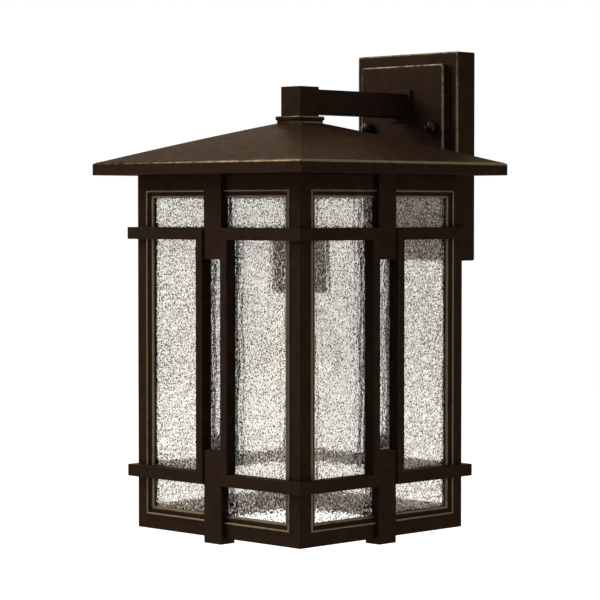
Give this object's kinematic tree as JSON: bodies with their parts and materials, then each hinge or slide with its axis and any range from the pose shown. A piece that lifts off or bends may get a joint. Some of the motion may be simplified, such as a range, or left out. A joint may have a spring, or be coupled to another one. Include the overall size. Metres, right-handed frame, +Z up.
{
  "type": "outdoor wall lantern",
  "caption": "Square wall lantern: hipped roof on a short arm and wall plate, mitred frames with seeded glass under a cage of bands and bars, open below round a screw-in bulb.",
  "frame": {"origin": "middle of the two box screws on the wall plane", "axes": "+Z up, the wall's room side is -Y, +X to the right of someone who faces the wall"},
  "size_m": [0.2286, 0.2585, 0.3775],
  "materials": {
    "bronze": "oil-rubbed bronze paint on cast aluminium, satin, edges rubbed to old gold",
    "seeded_glass": "clear seeded glass",
    "bulb_glass": "clear, thin",
    "porcelain": "glazed porcelain",
    "brass": "satin",
    "lamp_base": "bare, satin",
    "insulator": "black glass",
    "filament_wire": "dark wire",
    "zinc_steel": "zinc plated",
    "green_screw": "green, satin",
    "black_insulation": "smooth",
    "white_insulation": "smooth"
  },
  "bodies": {
    "lantern": {"frame_front": "bronze", "glass_front": "seeded_glass", "upper_strap_front": "bronze", "lower_strap_front": "bronze", "frame_right": "bronze", "glass_right": "seeded_glass", "upper_strap_right": "bronze", "lower_strap_right": "bronze", "frame_back": "bronze", "glass_back": "seeded_glass", "upper_strap_back": "bronze", "lower_strap_back": "bronze", "frame_left": "bronze", "glass_left": "seeded_glass", "upper_strap_left": "bronze", "lower_strap_left": "bronze", "cage_front_right": "bronze", "cage_back_right": "bronze", "cage_back_left": "bronze", "cage_front_left": "bronze", "roof": "bronze", "hub_collar": "bronze", "hub_block": "bronze", "arm": "bronze", "arm_flange": "bronze", "wall_plate": "bronze", "socket_cup": "bronze", "soffit_pan": "bronze", "corner_blocks": "bronze", "corner_screws": "zinc_steel", "strap_screws": "zinc_steel", "body_screws": "zinc_steel", "nipple": "zinc_steel", "pan_washer": "zinc_steel", "pan_nut": "zinc_steel", "cup_nut": "zinc_steel", "arm_rod": "zinc_steel", "arm_rod_washer": "zinc_steel", "arm_rod_nut": "zinc_steel", "mounting_bar": "zinc_steel", "mounting_studs": "zinc_steel", "stud_lock_nuts": "zinc_steel", "ground_screw": "green_screw", "socket_body": "porcelain", "socket_shell": "brass", "socket_contact": "brass", "lead_black": "black_insulation", "lead_white": "white_insulation"},
    "bulb_carrier": {"bulb_contact": "insulator"},
    "bulb": {"bulb_glass": "bulb_glass", "bulb_base": "lamp_base", "bulb_stem": "bulb_glass", "bulb_supports": "filament_wire", "bulb_filament": "filament_wire"},
    "washer_left": {"cap_washer_left": "bronze"},
    "cap_nut_left": {"cap_nut_left": "bronze"},
    "washer_right": {"cap_washer_right": "bronze"},
    "cap_nut_right": {"cap_nut_right": "bronze"}
  },
  "joints": [
    {"name": "bulb_travel", "type": "slide", "parent": "lantern", "child": "bulb_carrier", "axis": [0, 0, -1], "range_m": [0, 0.01815]},
    {"name": "bulb_turn", "type": "hinge", "parent": "bulb_carrier", "child": "bulb", "pos_m": [0, -0.1442, -0.1], "axis": [0, 0, -1], "range_deg": [0, 1800]},
    {"name": "cap_nut_left_travel", "type": "slide", "parent": "lantern", "child": "washer_left", "axis": [0, -1, 0], "range_m": [0, 0.00595]},
    {"name": "cap_nut_left_turn", "type": "hinge", "parent": "washer_left", "child": "cap_nut_left", "pos_m": [-0.03492, -0.03, 0], "axis": [0, -1, 0], "range_deg": [0, 2700]},
    {"name": "cap_nut_right_travel", "type": "slide", "parent": "lantern", "child": "washer_right", "axis": [0, -1, 0], "range_m": [0, 0.00595]},
    {"name": "cap_nut_right_turn", "type": "hinge", "parent": "washer_right", "child": "cap_nut_right", "pos_m": [0.03492, -0.03, 0], "axis": [0, -1, 0], "range_deg": [0, 2700]}
  ],
  "couplings": [
    {"joint": "bulb_travel", "follows": "bulb_turn", "m_per_rad": 0.00057757},
    {"joint": "cap_nut_left_turn", "follows": "cap_nut_left_travel", "rad_per_m": 7915.8},
    {"joint": "cap_nut_right_turn", "follows": "cap_nut_right_travel", "rad_per_m": 7915.8}
  ]
}
